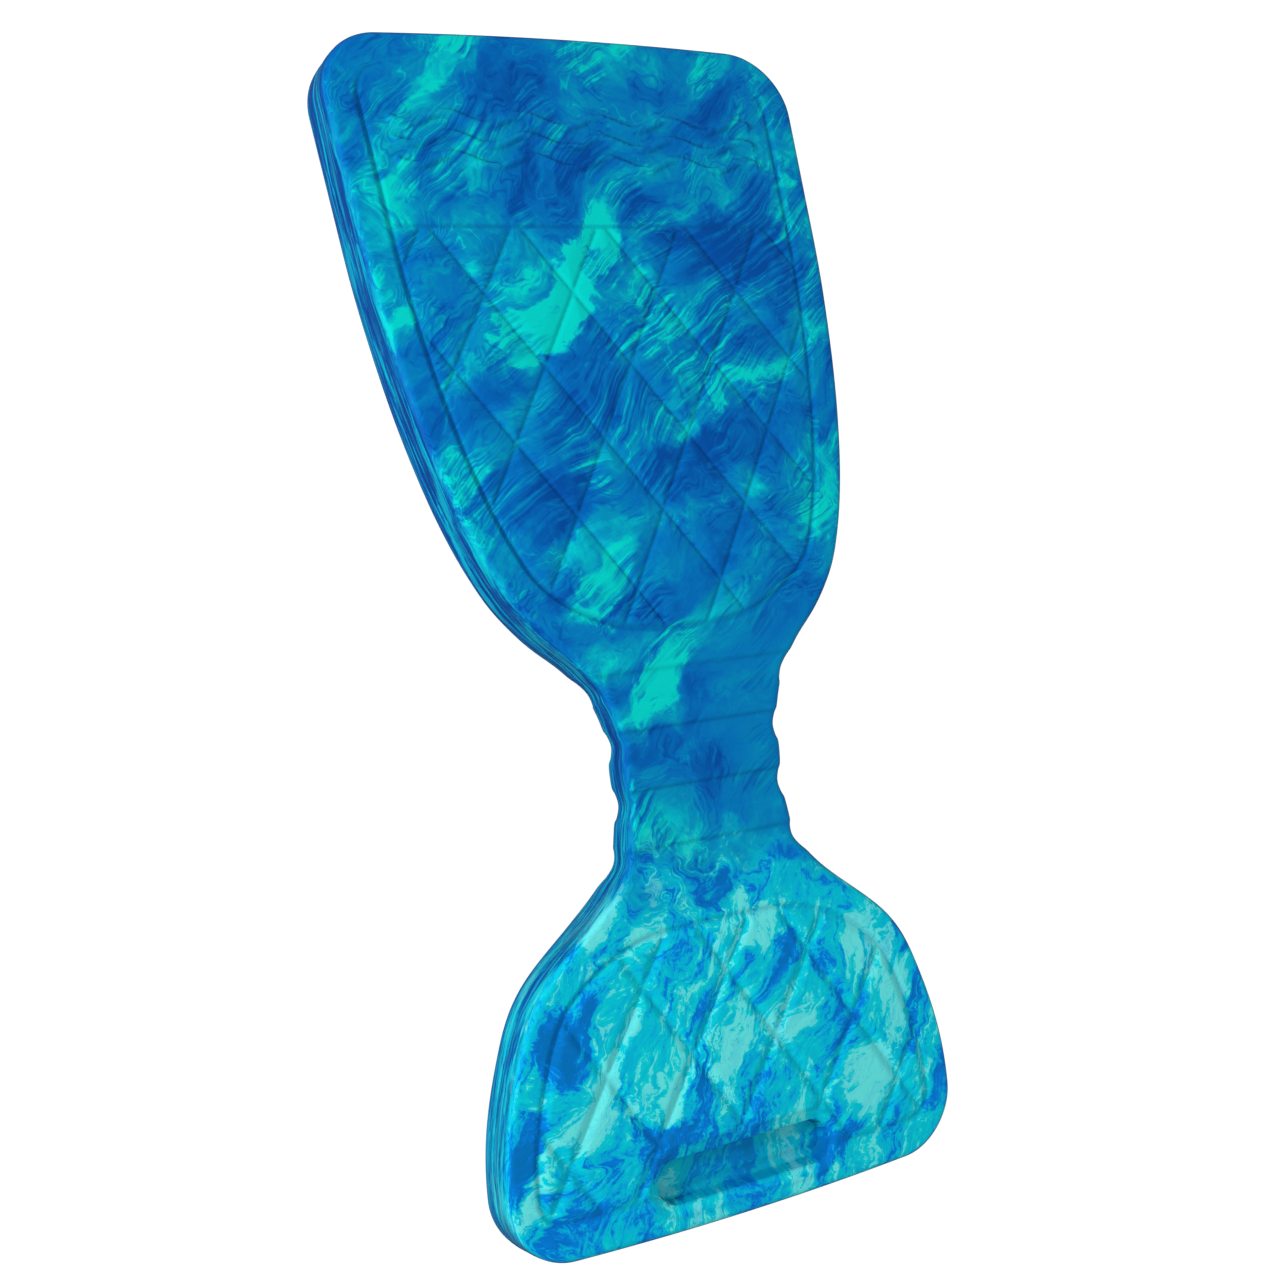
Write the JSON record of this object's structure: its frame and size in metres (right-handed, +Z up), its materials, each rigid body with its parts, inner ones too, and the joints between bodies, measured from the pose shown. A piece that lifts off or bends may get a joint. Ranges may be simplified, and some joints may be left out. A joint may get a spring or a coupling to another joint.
{
  "type": "hourglass foam water saddle float",
  "caption": "Hourglass closed-cell foam float with quilted faces, a ribbed flexing waist and a recessed hand hold near the smaller end.",
  "frame": {"origin": "bottom centre of the bounding box, on the ground plane the two lobe ends rest on", "axes": "+X across the board, its plane of symmetry is X = 0; +Y along the board towards the larger lobe; +Z up out of the quilted face"},
  "size_m": [0.4194, 0.9212, 0.0863],
  "materials": {
    "upper_foam": "soft satin closed-cell foam skin, marbled blue and teal",
    "lower_foam": "soft satin closed-cell foam skin, marbled blue and teal"
  },
  "bodies": {
    "large_lobe": {"large_lobe_upper_ply": "upper_foam", "large_lobe_lower_ply": "lower_foam"},
    "waist_rib_1": {"waist_rib_1_upper_ply": "upper_foam", "waist_rib_1_lower_ply": "lower_foam"},
    "waist_rib_2": {"waist_rib_2_upper_ply": "upper_foam", "waist_rib_2_lower_ply": "lower_foam"},
    "waist_rib_3": {"waist_rib_3_upper_ply": "upper_foam", "waist_rib_3_lower_ply": "lower_foam"},
    "small_lobe": {"small_lobe_upper_ply": "upper_foam", "small_lobe_lower_ply": "lower_foam"}
  },
  "joints": [
    {"name": "flex_1", "type": "hinge", "parent": "large_lobe", "child": "waist_rib_1", "pos_m": [0, -0.05473, 0.06936], "axis": [-1, 0, 0], "range_deg": [0, 20], "stiffness_Nm_per_rad": 3},
    {"name": "flex_2", "type": "hinge", "parent": "waist_rib_1", "child": "waist_rib_2", "pos_m": [0, -0.09737, 0.06731], "axis": [-1, 0, 0], "range_deg": [0, 20], "stiffness_Nm_per_rad": 3},
    {"name": "flex_3", "type": "hinge", "parent": "waist_rib_2", "child": "waist_rib_3", "pos_m": [0, -0.14132, 0.06258], "axis": [-1, 0, 0], "range_deg": [0, 20], "stiffness_Nm_per_rad": 3},
    {"name": "flex_4", "type": "hinge", "parent": "waist_rib_3", "child": "small_lobe", "pos_m": [0, -0.18485, 0.05685], "axis": [-1, 0, 0], "range_deg": [0, 20], "stiffness_Nm_per_rad": 3}
  ]
}
